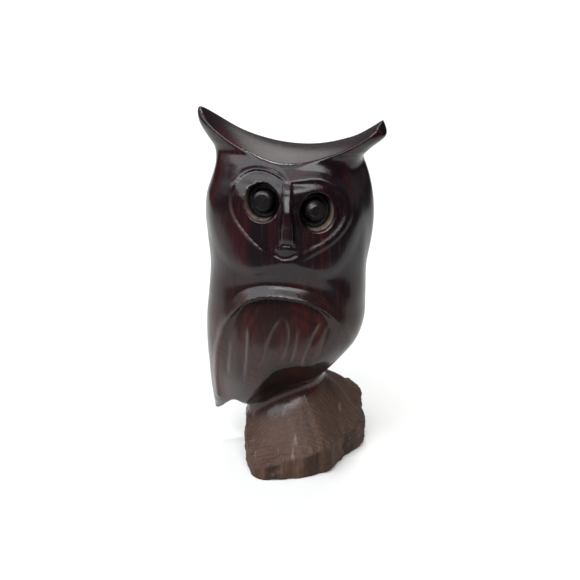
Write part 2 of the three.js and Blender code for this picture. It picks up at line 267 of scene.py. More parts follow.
def head_relief():
    """The head overhangs a soft hollow that follows its chin."""
    below = -inside_depth(HEAD)
    middle = 1 - 0.45 * ramp(np.abs(X), 12, 25)
    hollow = ramp(below, -1.2, 4.2) * (1 - ramp(below, 4.5, 20.0))
    return -RELIEF["chin_hollow"] * middle * hollow


def heart_relief():
    """The face is sunk behind a heart-shaped edge: crisp on the owl's right, a soft roll on its left."""
    depth = inside_depth(HEART)
    soft = ramp(X, -4, 8)
    fading_at_chin = 1 - (1 - ramp(depth, 0, 9)) * (1 - ramp(Z, 93, 101))
    amount = (RELIEF["face"] + RELIEF["face_on_left"] * soft) * fading_at_chin
    sunk = -amount * ramp(depth, -0.2, 0.8 + 2.2 * soft)
    roll = RELIEF["face_roll"] * bell(depth + 0.4, 2.2) * soft * ramp(Z, 92, 97)
    distance, _, along = nearest(BROW_LINE)
    groove = -RELIEF["brow_groove"] * bell(distance, 1.0) * (1 - ramp(along, 0.6, 1))
    return sunk + roll + groove + eye_hollows()


def eye_hollows():
    """The face stays upright over the eyes while the forehead slopes back."""
    hollows = 0
    for eye in EYES.values():
        reach = np.hypot((X - eye["x"]) / 11, (Z - eye["z"] - 4.5) / 6)
        hollows = hollows - RELIEF["eye_hollow"] * bell(reach, 1.0) * ramp(inside_depth(HEART), 0, 2.5)
    return hollows


def beak_relief():
    """A narrow bridge between the eyes, with a hump half way down, and the short beak below it."""
    middle = -1.9
    half_width = 1.9 + 0.8 * ramp(-Z, -114, -106)
    bridge = ramp(half_width - np.abs(X - middle), -0.6, 1.0) * ramp(Z, 97, 103) * (1 - ramp(Z, 120.5, 126))
    height = RELIEF["bridge"] + RELIEF["hump"] * (1 - ramp(Z, 112.5, 119.5))
    height = height - RELIEF["hump"] * (1 - ramp(Z, 98, 111))
    muzzle = RELIEF["muzzle"] * ramp(inside_depth(MUZZLE), -0.7, 1.4) * (1 - ramp(Z, 101, 108))
    mouth = -RELIEF["mouth"] * bell(nearest(MOUTH)[0], 0.7)
    chin = -RELIEF["chin_crease"] * bell(nearest(CHIN_CREASE)[0], 1.6)
    pits = 0
    for corner in BEAK_CORNERS:
        distance, _, along = nearest(corner)
        pits = pits - RELIEF["beside_beak"] * bell(distance, 1.3) * bell(along - 0.5, 0.5)
    return bridge * height + muzzle + mouth + chin + pits


def arch_relief():
    """The wings' edge over the breast: an even slope back from it ends in a wide hollow."""
    distance, side, along = nearest(ARCH)
    above = distance * np.where(side > 0, 1, -1)
    middle = ramp(along, 0.0, 0.3) * (1 - ramp(along, 0.62, 0.92))
    reach = 2.2 + 1.5 * middle
    slope = np.clip(1 - above / reach, 0, 1) * ramp(above, -1.0, -0.1)
    hollow = np.where(above < reach, ramp(above, -0.2, reach), 1 - ramp(above, reach, reach + 6.5))
    ends = ramp(along, 0, 0.1) * (1 - ramp(along, 0.9, 1))
    return (RELIEF["arch"] * slope * ends - RELIEF["over_arch"] * hollow) * (0.15 + 0.85 * middle)


def breast_relief():
    """The breast is sunk under the arch and comes up to the surface lower down."""
    depth = inside_depth(BREAST)
    amount = RELIEF["breast"] + RELIEF["breast_at_arch"] * ramp(Z, 38, 74)
    fade = 1 - ramp(X, 16, 27)
    crisp = ramp(Z, 64, 75) * fade
    sunk = -amount * (0.35 + 0.65 * fade) * ramp(depth, -0.1, 4.2 - 3.2 * crisp)
    swell = RELIEF["breast_swell"] * ramp(depth, 1.5, 13)
    edge = RELIEF["wing_edge"] * bell(nearest(WING_EDGE)[0], 1.5) * (1 - ramp(Z, 68, 76))
    return sunk + swell + edge


def feather_relief():
    """The cuts between the breast feathers, each with one wide side and one steep one."""
    relief = np.zeros(X.shape)
    for line, depth, left_width, right_width in FEATHER_CUTS:
        distance, side, along = nearest(line)
        ends = ramp(along, 0, 0.25) * (1 - ramp(along, 0.72, 1.0))
        # A line that runs down has the viewer's right on its left.
        reach = np.where(side > 0, right_width, left_width)
        relief -= depth * bell(distance, reach) * ends
    return relief


relief_map = head_relief() + heart_relief() + beak_relief()
relief_map = relief_map + arch_relief() + breast_relief() + feather_relief()


def edge_highlight_lines():
    """The arrises and narrow cuts, painted pale: a painted highlight where their edges catch the light."""
    lines = ((HEART_HIGHLIGHT_EDGE, 0.9), (WING_EDGE, 1.3)) + tuple((cut[0], 0.8) for cut in FEATHER_CUTS)
    edge_highlight = np.zeros(X.shape)
    for line, reach in lines:
        distance, _, along = nearest(line)
        edge_highlight = np.maximum(edge_highlight, bell(distance, reach) * ramp(along, 0, 0.2) * (1 - ramp(along, 0.8, 1)))
    return edge_highlight


edge_highlight_map = edge_highlight_lines()


def sample_map(values, x, z):
    """A front-view map read between its cells."""
    i = np.clip((x - map_x[0]) / MAP_STEP, 0, len(map_x) - 1.001)
    j = np.clip((z - map_z[0]) / MAP_STEP, 0, len(map_z) - 1.001)
    i0, j0 = i.astype(int), j.astype(int)
    u, v = i - i0, j - j0
    low = values[i0, j0] * (1 - u) + values[i0 + 1, j0] * u
    high = values[i0, j0 + 1] * (1 - u) + values[i0 + 1, j0 + 1] * u
    return low * (1 - v) + high * v


# ---- The field: negative in the wood, and about the distance to its surface ----

# The blank's sections are worked out this far apart. Its field and the skull's are cut off this far from
# their surfaces.
SECTION_STEP = 0.05
FIELD_REACH = 8.0

section_z = np.arange(BLANK[0, 0], BLANK[-1, 0], SECTION_STEP)
section_sizes = hermite(BLANK[:, 0], BLANK[:, 1:], section_z).T


def turned(x, y):
    """x and y in the body's own axes, which are turned from the carving's."""
    c, s = math.cos(BODY_YAW), math.sin(BODY_YAW)
    return x * c + y * s, y * c - x * s


def blank_value(x, y, z):
    """Negative inside the blank, in the body's axes. It isn't a distance."""
    sizes = [np.interp(z, section_z, size) for size in section_sizes]
    left, right, front, back, sides, front_full, back_full = sizes
    skew = (EAR_SKEW["shift"] + EAR_SKEW["amount"] * x) * ramp(z, EAR_SKEW["start"], EAR_SKEW["end"])
    across = np.abs(2 * x - left - right) / (right - left)
    along = (2 * (y + skew) - front - back) / (back - front)
    return across**sides + np.abs(along) ** np.where(along < 0, front_full, back_full) - 1


def blank_field(x, y, z):
    """The blank's field in the body's axes, and how squarely its surface faces the front."""
    step = 0.05
    value = blank_value(x, y, z)
    slope_x = (blank_value(x + step, y, z) - value) / step
    slope_y = (blank_value(x, y + step, z) - value) / step
    slope_z = (blank_value(x, y, z + step) - value) / step
    steepness = np.sqrt(slope_x**2 + slope_y**2 + slope_z**2) + 1e-3
    return np.clip(value / steepness, -FIELD_REACH, FIELD_REACH), -slope_y / steepness


def skull_field(x, y, z):
    """Negative inside the skull, in the body's axes."""
    (cx, cy, cz), (rx, front_radius, rz) = SKULL["centre"], SKULL["radii"]
    ry = np.where(y > cy, SKULL["back_radius"], front_radius)
    u, v, w = (x - cx) / rx, (y - cy) / ry, (z - cz) / rz
    reach = np.sqrt(u**2 + v**2 + w**2) + 1e-6
    steepness = np.sqrt((u / rx) ** 2 + (v / ry) ** 2 + (w / rz) ** 2) / reach + 1e-3
    return np.clip((reach - 1) / steepness, -FIELD_REACH, FIELD_REACH)


def saddle_field(x, y, z):
    """Positive above the hollow between the ears, in the body's axes."""
    within = np.clip(x, -SADDLE["half_width"], SADDLE["half_width"])
    fall = np.sqrt(SADDLE["arch"] ** 2 - within**2)
    sag = SADDLE["arch"] - fall
    radius = SADDLE["roll"] + sag
    from_crest = y - SADDLE["crest_y"]
    rise = np.sqrt(np.maximum(radius**2 - from_crest**2, 1))
    surface = SADDLE["crest"] - SADDLE["roll"] + rise
    slope_x = radius / rise * x / fall
    return (z - surface) / np.sqrt(1 + slope_x**2 + (from_crest / rise) ** 2)


def underside_field(x, y, z):
    """Positive below the body's underside."""
    u = UNDERSIDE
    level = u["level"] + u["side_slope"] * (x - u["pivot_x"]) - z
    level = level + WING_HOLLOW["rise"] * bell(x - WING_HOLLOW["x"], WING_HOLLOW["reach"])
    level = level / math.hypot(1, u["side_slope"])
    front_slope = np.interp(x, LIP_SLOPE["x"], LIP_SLOPE["slope"])
    rising = (level + front_slope * (u["break_y"] - y)) / np.hypot(1, front_slope)
    return smooth_max(level, rising, UNDERSIDE_ROUNDING["hollow"])


def ear_cut_field(x, y, z):
    """Positive past the cut through the tip of the owl's left ear."""
    (px, py, pz), (nx, ny, nz) = EAR_CUT["point"], EAR_CUT["normal"]
    return ((x - px) * nx + (y - py) * ny + (z - pz) * nz) / math.sqrt(nx**2 + ny**2 + nz**2)


def front_of_blank(x, z):
    """Where a line along +Y at x and z first meets the blank."""
    y = np.arange(-60, 0, 0.02)
    tx, ty = turned(np.full(y.shape, x), y)
    return y[np.argmax(blank_value(tx, ty, np.full(y.shape, z)) < 0)]


def eye_axes(eye):
    """The eye's place in the carving's axes: its centre, then its across, up and outward directions."""
    turn = Matrix.Rotation(eye["side"] * SOCKET["splay"], 3, "Z") @ Matrix.Rotation(-SOCKET["lift"], 3, "X")
    centre = np.array([eye["x"], front_of_blank(eye["x"], eye["z"]) + FACE_DEPTH, eye["z"]])
    across, up, out = (np.array(turn @ Vector(v)) for v in ((1, 0, 0), (0, 0, 1), (0, -1, 0)))
    return centre, across, up, out


def eye_coordinates(eye, x, y, z):
    centre, *axes = eye_axes(eye)
    return [(x - centre[0]) * a[0] + (y - centre[1]) * a[1] + (z - centre[2]) * a[2] for a in axes]


def socket_radius(across, up):
    """How far out from the socket's axis a place is, where 1 is the socket's size at the face."""
    return np.sqrt((across / SOCKET["across"]) ** 2 + (up / SOCKET["tall"]) ** 2)


def socket_field(eye, x, y, z):
    """Negative inside an eye socket or the seat of its peg."""
    across, up, out = eye_coordinates(eye, x, y, z)
    wall = (socket_radius(across, up) - 1) * (SOCKET["across"] + SOCKET["tall"]) / 2
    wall = wall - SOCKET["taper"] * out
    wall = wall - SOCKET_BEVEL["width"] * ramp(out, -SOCKET_BEVEL["depth"], SOCKET_BEVEL["depth"])
    socket = np.maximum(wall, -SOCKET["depth"] - out)
    seat = np.hypot(across, up) - PEG["radius"] - PEG["glue_gap"]
    seat = np.maximum(seat, -SOCKET["depth"] - PEG["seat"] - PEG["glue_gap"] - out)
    return np.minimum(socket, np.maximum(seat, out))


def owl_field(x, y, z):
    """The owl, before its eye sockets are cut."""
    tx, ty = turned(x, y)
    blank, facing = blank_field(tx, ty, z)
    body = smooth_min(blank, skull_field(tx, ty, z), SKULL["blend"])
    body = body - sample_map(relief_map, x, z) * ramp(facing, 0.08, 0.5)
    body = np.maximum(body, BLANK[0, 0] - z)
    to_tips = ramp(-tx, 29, 36)
    rounding = SADDLE["rounding"] + (SADDLE["tip_rounding"] - SADDLE["rounding"]) * to_tips
    body = smooth_max(body, saddle_field(tx, ty, z), rounding)
    body = smooth_max(body, ear_cut_field(x, y, z), EAR_CUT["rounding"])
    return smooth_max(body, underside_field(x, y, z), UNDERSIDE_ROUNDING["lip"])


stump_line = smooth_line(STUMP_EDGE, closed=True)[:-1]
stump_angle = np.arctan2(stump_line[:, 1] - NECK["y"], stump_line[:, 0] - NECK["x"])
stump_order = np.argsort(stump_angle)
stump_radius = np.hypot(stump_line[:, 0] - NECK["x"], stump_line[:, 1] - NECK["y"])


def stump_plan(x, y):
    """How far out from the neck a place, the neck and the sawn edge are, and how high the edge is."""
    dx, dy = x - NECK["x"], y - NECK["y"]
    radius, angle = np.hypot(dx, dy) + 1e-6, np.arctan2(dy, dx)
    keys = stump_angle[stump_order]
    edge = np.interp(angle, keys, stump_radius[stump_order], period=2 * math.pi)
    edge = edge + sum(size * np.sin(waves * angle + waves) for waves, size in SAWN_WAVES)
    height = np.interp(angle, keys, stump_line[stump_order, 2], period=2 * math.pi)
    neck = radius / np.hypot(dx / NECK["radius_x"], dy / NECK["radius_y"])
    return radius, np.minimum(neck, edge - FLARE["inset"]), edge, height


def waist_height(x):
    return NECK["waist"] + NECK["waist_slope"] * (x - NECK["x"])


def stump_field(x, y, z):
    """The stump: a neck that flares down to the sawn edge."""
    radius, neck, edge, height = stump_plan(x, y)
    out = np.clip((radius - neck) / (edge - neck), 0, 1)
    rise = waist_height(x) - height
    surface = height + rise * (1 - out) ** FLARE["power"]
    slope = FLARE["power"] * rise * (1 - out) ** (FLARE["power"] - 1) / (edge - neck)
    flare = (z - surface) / np.hypot(1, slope)
    shaft = np.maximum(radius - neck, z - FLARE["top"])
    solid = smooth_min(np.maximum(flare, radius - edge), shaft, FLARE["fillet"])
    return smooth_max(solid, -z, FLARE["rounding"])


def carving_field(x, y, z):
    """The whole block: the owl on its stump, with its eye sockets cut."""
    block = smooth_min(owl_field(x, y, z), stump_field(x, y, z), FLARE["fillet"])
    for eye in EYES.values():
        block = smooth_max(block, -socket_field(eye, x, y, z), SOCKET_BEVEL["rounding"])
    return block


# ---- The mesh of the carving ----

def field_at(points):
    return carving_field(points[:, 0], points[:, 1], points[:, 2])


def field_slope(points):
    step = 0.12
    steps = np.eye(3) * step
    return np.stack([(field_at(points + s) - field_at(points - s)) / (2 * step) for s in steps], axis=1)


def unit(vectors):
    """The vectors at length 1."""
    return vectors / (np.linalg.norm(vectors, axis=1, keepdims=True) + 1e-9)


def polygonise():
    """Vertices and quads of the field's surface."""
    margin = 2.0
    half = (block_high - block_low) / METRES / 2 + margin
    low = BLOCK_MIDDLE - half
    counts = np.ceil(2 * half / VOXEL).astype(int)
    x, y = (low[i] + VOXEL * np.arange(counts[i]) for i in (0, 1))
    x, y = np.meshgrid(x, y, indexing="ij")
    values = np.empty(counts, np.float32)
    for k in range(counts[2]):
        values[:, :, k] = carving_field(x, y, np.full(x.shape, low[2] + VOXEL * k))
    grid = openvdb.FloatGrid(3.0)
    grid.copyFromArray(values)
    points, quads = grid.convertToQuads(isovalue=0.0)
    return low + VOXEL * points.astype(float), quads.astype(int)


def relaxed(points, quads, rounds=3):
    """The points spread evenly and moved exactly onto the surface."""
    ends = np.vstack([quads[:, [i, (i + 1) % 4]] for i in range(4)])
    count = np.bincount(ends[:, 0], minlength=len(points))[:, None]
    for _ in range(rounds):
        middle = np.stack([np.bincount(ends[:, 0], points[ends[:, 1], i], len(points)) for i in range(3)], 1)
        normal = unit(field_slope(points))
        pull = middle / count - points
        points = points + 0.5 * (pull - normal * (pull * normal).sum(1, keepdims=True))
        for _ in range(2):
            slope = field_slope(points)
            push = field_at(points)[:, None] * slope / ((slope**2).sum(1, keepdims=True) + 1e-3)
            points = points - np.clip(push, -VOXEL, VOXEL)
    return points


def raw_share(points):
    """1 on the stump's raw wood and 0 on the polished owl, with the change just below the waist."""
    x, y, z = points.T
    on_stump = ramp(owl_field(x, y, z) - stump_field(x, y, z), 0.0, 1.5)
    return on_stump * ramp(waist_height(x) - z, 2.5, 8.0)


def roughened(points, raw):
    """The raw wood's chips and dents. The foot stays flat."""
    x, y, z = points.T
    normal = unit(field_slope(points))
    radius, _, edge, height = stump_plan(x, y)
    near_edge = ramp(radius - edge, -4, -0.5) * ramp(z, 0.5, 2) + bell(z - height, 2.5)
    moves = np.zeros(len(points))
    for i in np.nonzero(raw > 0.01)[0]:
        p = Vector(points[i])
        dent = noise.fractal(p * RAW_WOOD["dent_scale"], 1.0, 2.0, 3)
        chip = noise.turbulence(p * RAW_WOOD["chip_scale"], 3, False)
        moves[i] = RAW_WOOD["dents"] * dent - RAW_WOOD["chips"] * min(near_edge[i], 1) * (chip - 0.25)
    moves *= raw
    foot = ramp(z, 0.0, 1.5)
    return points + normal * moves[:, None] * foot[:, None]


def socket_shares(points):
    """How far each place is on the lower outer part of a socket's raw wall, which is painted pale as painted
    light where light falls on it, and how far it lies in the socket's depths, which are painted near black
    as painted shade.
    """
    wall = np.zeros(len(points))
    floor = np.zeros(len(points))
    for eye in EYES.values():
        across, up, out = eye_coordinates(eye, *points.T)
        in_socket = out > -SOCKET["depth"] - 1
        near = (1 - ramp(socket_radius(across, up), 1.02, 1.12)) * in_socket
        below_rim = 1 - ramp(out, -1.5, -0.8)
        # Only the lower outer wall, which faces the light, shows the pale raw wood: painted light. Elsewhere
        # the wall keeps the dark oiled colour as painted shade.
        lit_lower_outer = ramp(0.75 * eye["side"] * across - 0.65 * up, 0.0, 4.5)
        # Painted shade: the socket's depths are painted near black.
        deep = 1 - ramp(out, -5.6, -3.0)
        wall = np.maximum(wall, near * below_rim * lit_lower_outer)
        floor = np.maximum(floor, near * deep)
    return wall, floor


def groove_shade_share(points):
    """How far each place lies in a carved groove, which the material paints darker as painted shade and
    makes rougher.
    """
    blur = 2.0
    reach = int(blur / MAP_STEP)
    blurred = relief_map
    for axis in (0, 1):
        blurred = sum(np.roll(blurred, i, axis) for i in range(-reach, reach + 1)) / (2 * reach + 1)
    hollow = ramp(blurred - relief_map, 0.1, 0.9)
    front = points[:, 1] < 0
    return sample_map(hollow, points[:, 0], points[:, 2]) * front


def mesh_object(name, points, faces, material):
    """A smooth mesh of points in the frame, in metres."""
    mesh = bpy.data.meshes.new(name)
    mesh.from_pydata(points.tolist(), [], faces)
    mesh.polygons.foreach_set("use_smooth", [True] * len(mesh.polygons))
    mesh.materials.append(material)
    mesh.update()
    piece = bpy.data.objects.new(name, mesh)
    bpy.context.collection.objects.link(piece)
    return piece


def store(piece, name, values):
    """Keeps a number at each point, for the material to read."""
    attribute = piece.data.attributes.new(name, "FLOAT", "POINT")
    attribute.data.foreach_set("value", np.asarray(values, np.float32))


def carve_block(material):
    points, quads = polygonise()
    points = relaxed(points, quads)
    raw = raw_share(points)
    wall, floor = socket_shares(points)
    groove_shades = groove_shade_share(points)
    # A painted highlight: pale lines along the arrises and cuts of the oiled front.
    edge_highlight = sample_map(edge_highlight_map, points[:, 0], points[:, 2]) * (points[:, 1] < 2) * (1 - raw)
    # How near each place is to the body's underside, which is painted darker: painted shade under the body.
    underside = bell(underside_field(*points.T), 0.9)
    points = roughened(points, raw)
    points[:, 2] = np.maximum(points[:, 2], 0)
    block = mesh_object("carved_owl_and_stump", to_frame(points), quads.tolist(), material)
    shares = {"raw": raw, "lit_raw_socket_wall": wall, "socket_depth_shade": floor, "groove": groove_shades, "edge_highlight": edge_highlight,
              "underside": underside}
    for name, values in shares.items():
        store(block, name, values)
    return block


# ---- The pegs ----

def peg_profile(eye):
    """A pupil's outline from its foot to its crown: distances from its axis and along it."""
    radius, flat, rounding = PEG["radius"], eye["flat"], PEG["rounding"]
    foot, head = -SOCKET["depth"] - PEG["seat"], PEG["proud"] - SOCKET["depth"]
    bevel = (radius - flat) * PEG["bevel_slope"]
    shoulder = head - bevel
    steps, crown_steps = 6, 8
    profile = [(0.0, foot), (radius - PEG["foot_bevel"], foot), (radius, foot + PEG["foot_bevel"])]
    profile += [(radius, foot + (shoulder - foot) * i / steps) for i in range(1, steps)]
    for i in range(steps + 1):
        inwards = rounding * (1 - math.cos(math.radians(45 * i / steps)))
        profile.append((radius - inwards, shoulder - rounding * (1 - i / steps)))
    for i in range(1, steps):
        profile.append((radius + (flat - radius) * i / steps, shoulder + bevel * i / steps))
    for i in range(crown_steps + 1):
        r = flat * (1 - i / crown_steps)
        profile.append((r, head + eye["crown"] * PEG["crowning"] * (1 - (r / flat) ** 2)))
    return profile


def turn_peg(name, eye, material):
    """A pupil: a round peg with a bevelled edge and a slightly crowned flat end."""
    (_, foot), *rings, (_, crown) = peg_profile(eye)
    turns = 96
    last = len(rings) - 1
    centre, across, up, out = eye_axes(eye)
    points, faces = [], []
    for r, t in rings:
        for k in range(turns):
            a = 2 * math.pi * k / turns
            points.append(centre + across * r * math.cos(a) + up * r * math.sin(a) + out * t)
    for ring in range(last):
        for k in range(turns):
            a, b = ring * turns + k, ring * turns + (k + 1) % turns
            faces.append((a, b, b + turns, a + turns))
    for tip, ring in ((foot, 0), (crown, last)):
        points.append(centre + out * tip)
        for k in range(turns):
            a, b = ring * turns + k, ring * turns + (k + 1) % turns
            faces.append((b, a, len(points) - 1) if ring == 0 else (a, b, len(points) - 1))
    return mesh_object(name, to_frame(points), faces, material)


# ---- Materials ----

# Colours are linear red, green and blue.
OILED = {
    # The colours for low down are lighter and warmer: a painted reflection of the warm floor.
    "dark": (0.0068, 0.0030, 0.0050), "dark_floor_reflection": (0.024, 0.0110, 0.0105),
    "red": (0.026, 0.0042, 0.0066), "red_floor_reflection": (0.054, 0.0165, 0.0125),
    # Darker colours for the underside: painted shade under the body.
    "dark_shaded_underneath": (0.0035, 0.0012, 0.0012), "red_shaded_underneath": (0.020, 0.0030, 0.0030),
    "ring": (0.0055, 0.0028, 0.0034), "cloud": (0.034, 0.0050, 0.0056), "fibre": (0.056, 0.022, 0.016),
    # The groove colour is painted shade, and the pale colour after it is a painted highlight.
    "groove": (0.006, 0.0026, 0.0028), "edge_highlight": (0.115, 0.085, 0.072),
}
SAWN = {
    "dark": (0.048, 0.017, 0.009), "pale": (0.066, 0.034, 0.022), "stain": (0.048, 0.032, 0.032),
    "ring": (0.045, 0.019, 0.013), "fibre": (0.095, 0.057, 0.041), "scratch": (0.22, 0.17, 0.14),
    "wall_dark": (0.028, 0.010, 0.005), "wall_pale": (0.080, 0.040, 0.022),
}
# The sockets' raw wood, shown on their lit lower outer walls as painted light, and a near-black painted
# shade in their depths.
SOCKET_WOOD = {"dark": (0.070, 0.050, 0.040), "pale": (0.170, 0.130, 0.105), "deep": (0.004, 0.0025, 0.0025)}
EBONY = {"dark": (0.005, 0.004, 0.0045), "pale": (0.014, 0.009, 0.010), "speck": (0.05, 0.03, 0.03)}
SWEEP = {"dark": (0.77, 0.77, 0.755), "pale": (0.80, 0.80, 0.785)}
TABLE = {"dark": (0.03, 0.03, 0.03), "paper": (0.63, 0.63, 0.615)}

# Lengths in metres: the heights where a painted reflection of the warm floor starts to make the oiled wood
# lighter and browner and where it is strongest, how deep the grain and the flecks of the other finishes
# are, and the tree's growth rings, whose heart stands behind the block.
FLOOR_REFLECTION_FROM = (0.092, 0.055)
GRAIN_DEPTH = 0.0004
EBONY_DEPTH = 0.00004
FLECK_DEPTH = 0.00002
RING_SPACING = 0.0013
RING_WANDER = 0.0060
TREE_HEART = Vector((0.01, 0.20, 0))
# The oil's refractive index.
OIL_IOR = 1.42

# Where the reflected paper begins and where it is whole, in metres: its front edge, which slants back at
# the sides, its back edge, the wall above and behind it, and its side edges.
PAPER = {"front": (-0.155, -0.125), "back": (0.85, 0.70), "wall": (0.45, 0.60), "side": (0.46, 0.40),
         "slant_from": 0.07, "slant": 0.35}


class Nodes:
    """Adds nodes to a material or a world and links them by socket name."""

    def __init__(self, owner):
        owner.use_nodes = True
        self.tree = owner.node_tree
        self.tree.nodes.clear()

    def add(self, kind, inputs=None, **settings):
        node = self.tree.nodes.new(kind)
        for key, value in settings.items():
            setattr(node, key, value)
        for key, value in (inputs or {}).items():
            if isinstance(value, bpy.types.NodeSocket):
                self.tree.links.new(value, node.inputs[key])
            else:
                node.inputs[key].default_value = value
        return node

    def math(self, operation, a, b=0.0, clamp=False):
        return self.add("ShaderNodeMath", {0: a, 1: b}, operation=operation, use_clamp=clamp).outputs[0]

    def mix(self, share, a, b):
        """Colour a where share is 0 and colour b where it is 1."""
        node = self.add("ShaderNodeMix", data_type="RGBA")
        for key, value in (("Factor", share), ("A", a), ("B", b)):
            socket = next(s for s in node.inputs if s.name == key and s.enabled)
            if isinstance(value, bpy.types.NodeSocket):
                self.tree.links.new(value, socket)
            else:
                socket.default_value = (*value, 1)
        return next(s for s in node.outputs if s.enabled)

    def blend(self, share, a, b):
        """A number that goes from a to b as share goes from 0 to 1."""
        return self.add("ShaderNodeMapRange", {"Value": share, "To Min": a, "To Max": b}).outputs[0]

    def spread(self, value, low, high):
        """0 at low and 1 at high, with a smooth change between them."""
        node = self.add("ShaderNodeMapRange", {"Value": value, "From Min": low, "From Max": high})
        node.interpolation_type = "SMOOTHSTEP"
        return node.outputs[0]

    def object_place(self):
        """The object's own coordinates, in metres."""
        return self.add("ShaderNodeTexCoord").outputs["Object"]

    def split(self, vector, axis):
        """One part of a vector."""
        return self.add("ShaderNodeSeparateXYZ", {0: vector}).outputs[axis]

    def place(self, scale):
        """The object's own coordinates, stretched by scale."""
        return self.add("ShaderNodeMapping", {"Vector": self.object_place(), "Scale": scale}).outputs[0]

    def noise(self, where, scale, detail, roughness):
        inputs = {"Vector": where, "Scale": scale, "Detail": detail, "Roughness": roughness}
        return self.add("ShaderNodeTexNoise", inputs).outputs["Fac"]

    def attribute(self, name):
        return self.add("ShaderNodeAttribute", attribute_name=name).outputs["Fac"]

    def layer(self, colour, share, amount, over):
        """The colour with another over it, by as much as the share times the amount."""
        return self.mix(self.math("MULTIPLY", share, amount), colour, over)

    def finish(self, base, roughness, height, bump_distance, ior=1.5):
        bump = self.add("ShaderNodeBump", {"Height": height, "Distance": bump_distance})
        shader = self.add("ShaderNodeBsdfPrincipled", {
            "Base Color": base, "Roughness": roughness, "Normal": bump.outputs[0], "IOR": ior})
        self.add("ShaderNodeOutputMaterial", {"Surface": shader.outputs[0]})


def growth_rings(nodes):
    """A wave that rises and falls once a ring, around the tree's heart, which stands behind the block."""
    shift = nodes.add("ShaderNodeMapping", {
        "Vector": nodes.object_place(), "Location": -TREE_HEART, "Scale": (1, 1, 0)})
    distance = nodes.add("ShaderNodeVectorMath", {0: shift.outputs[0]}, operation="LENGTH").outputs["Value"]
    wander = nodes.noise(nodes.place((1, 1, 0.5)), 40.0, 4.0, 0.55)
    distance = nodes.math("ADD", distance, nodes.math("MULTIPLY", wander, RING_WANDER))
    return nodes.math("SINE", nodes.math("MULTIPLY", distance, 2 * math.pi / RING_SPACING))


def wood_grain(nodes):
    """The patterns that all of the block's wood shares, drawn out along its upright grain."""
    streaks = nodes.noise(nodes.place((1, 1, 0.10)), 150.0, 4.0, 0.6)
    ring_wave = growth_rings(nodes)
    rings = nodes.math("MULTIPLY", nodes.spread(ring_wave, 0.1, 0.95), nodes.spread(streaks, 0.40, 0.60))
    return {
        "fibres": nodes.noise(nodes.place((1, 1, 0.05)), 850.0, 3.0, 0.55),
        "streaks": streaks,
        "clouds": nodes.noise(nodes.place((1, 1, 0.35)), 35.0, 3.0, 0.55),
        "ring_wave": ring_wave,
        "rings": rings,
    }


def oiled_colour(nodes, grain):
    """Dark rosewood under oil, with painted light: a painted reflection of the warm floor makes it lighter
    and browner low down, painted shade makes it darker and deep red underneath and darker in the cuts, and a
    painted highlight makes it pale along edges and cuts.
    """
    underside = nodes.attribute("underside")
    height = nodes.split(nodes.object_place(), "Z")
    # A painted reflection of the warm floor: lighter and browner low down, though not on the underside.
    floor_reflection = nodes.spread(height, *FLOOR_REFLECTION_FROM)
    floor_reflection = nodes.math("MULTIPLY", floor_reflection, nodes.math("SUBTRACT", 1.0, underside))
    red = nodes.spread(grain["streaks"], 0.45, 0.70)
    dark = nodes.mix(floor_reflection, OILED["dark"], OILED["dark_floor_reflection"])
    bright = nodes.mix(floor_reflection, OILED["red"], OILED["red_floor_reflection"])
    colour = nodes.mix(red, dark, bright)
    colour = nodes.layer(colour, grain["rings"], 0.35, OILED["ring"])
    colour = nodes.layer(colour, nodes.spread(grain["clouds"], 0.52, 0.70), 0.6, OILED["cloud"])
    colour = nodes.layer(colour, nodes.spread(grain["fibres"], 0.50, 0.80), 0.35, OILED["fibre"])
    # Painted shade: the underside is painted darker and deep red.
    below = nodes.mix(red, OILED["dark_shaded_underneath"], OILED["red_shaded_underneath"])
    colour = nodes.layer(colour, underside, 0.85, below)
    # Painted shade: darker in the carved grooves.
    colour = nodes.layer(colour, nodes.attribute("groove"), 0.5, OILED["groove"])
    # A painted highlight: pale along the arrises and cuts, by a patchy amount.
    patchy = nodes.blend(nodes.spread(grain["streaks"], 0.35, 0.65), 0.2, 0.5)
    return nodes.layer(colour, nodes.attribute("edge_highlight"), patchy, OILED["edge_highlight"])


def sawn_colour(nodes, grain):
    """Raw rosewood: rings, stains and scratches on the flared top, and streaks down the sawn wall."""
    stains = nodes.noise(nodes.place((1, 1, 0.8)), 75.0, 5.0, 0.65)
    scratches = nodes.noise(nodes.place((1, 0.3, 0.12)), 420.0, 2.0, 0.5)
    top = nodes.mix(nodes.spread(grain["clouds"], 0.38, 0.62), SAWN["dark"], SAWN["pale"])
    top = nodes.layer(top, nodes.spread(stains, 0.52, 0.66), 0.75, SAWN["stain"])
    top = nodes.layer(top, grain["rings"], 0.42, SAWN["ring"])
    top = nodes.layer(top, nodes.spread(grain["fibres"], 0.5, 0.7), 0.5, SAWN["fibre"])
    top = nodes.layer(top, nodes.spread(scratches, 0.66, 0.74), 0.45, SAWN["scratch"])
    wall = nodes.mix(nodes.spread(grain["streaks"], 0.38, 0.62), SAWN["wall_dark"], SAWN["wall_pale"])
    normal = nodes.add("ShaderNodeNewGeometry").outputs["Normal"]
    levelness = nodes.math("ABSOLUTE", nodes.split(normal, "Z"))
    return nodes.mix(nodes.spread(levelness, 0.45, 0.20), top, wall)


